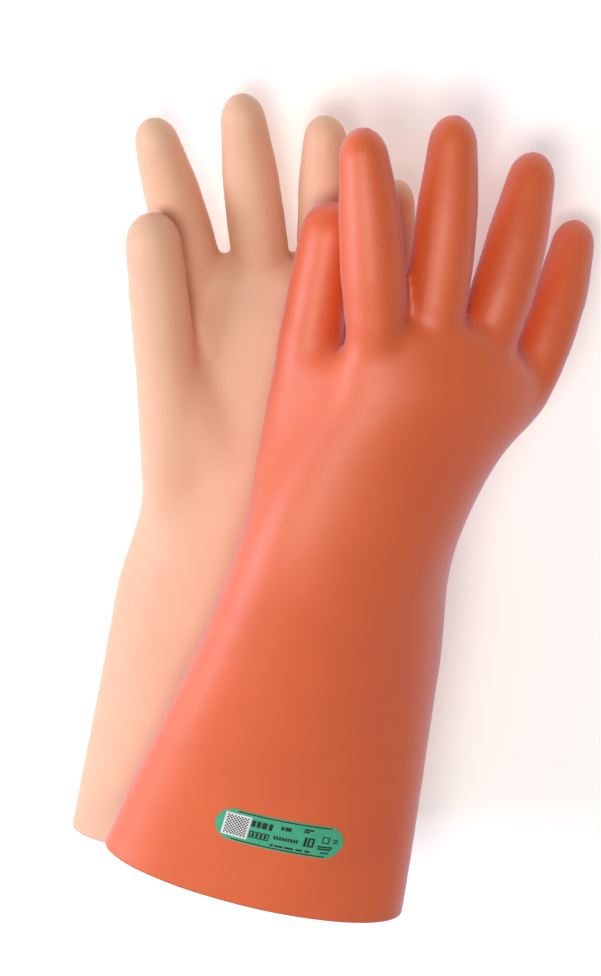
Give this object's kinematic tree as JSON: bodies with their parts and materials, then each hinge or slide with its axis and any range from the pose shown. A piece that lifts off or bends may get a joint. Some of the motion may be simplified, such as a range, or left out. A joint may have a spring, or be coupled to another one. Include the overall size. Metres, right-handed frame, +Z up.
{
  "type": "electrical insulating gloves",
  "caption": "Pair of long-gauntlet rubber insulating gloves, one orange-red and one natural, lying across each other.",
  "frame": {"origin": "middle of the left glove's flat back, where it rests on the table", "axes": "+Y along the gloves towards the fingertips, +X towards the little fingers, +Z up from the table"},
  "size_m": [0.2317, 0.3688, 0.106],
  "materials": {
    "orange_ply": "satin dipped rubber, orange-red",
    "natural_ply": "satin dipped rubber, natural beige",
    "natural_lining": "matt rubber inner ply, natural beige",
    "orange_lining": "matt rubber inner ply, orange-red",
    "green_label": "printed film label, green",
    "white_panel": "printed film panel, white"
  },
  "bodies": {
    "left_glove": {"left_gauntlet": "natural_ply", "left_palm": "natural_ply", "left_knuckles": "natural_ply", "left_thumb": "natural_ply", "left_index_finger": "natural_ply", "left_middle_finger": "natural_ply", "left_ring_finger": "natural_ply", "left_little_finger": "natural_ply", "left_lining": "orange_lining", "left_label": "green_label", "left_code_panel": "white_panel"},
    "right_glove": {"right_gauntlet": "orange_ply", "right_palm": "orange_ply", "right_knuckles": "orange_ply", "right_thumb": "orange_ply", "right_index_finger": "orange_ply", "right_middle_finger": "orange_ply", "right_ring_finger": "orange_ply", "right_little_finger": "orange_ply", "right_lining": "natural_lining", "right_label": "green_label", "right_code_panel": "white_panel"}
  },
  "joints": [
    {"name": "right_glove_lift", "type": "slide", "parent": "left_glove", "child": "right_glove", "axis": [0, 0, 1], "range_m": [0, 0.26]}
  ]
}
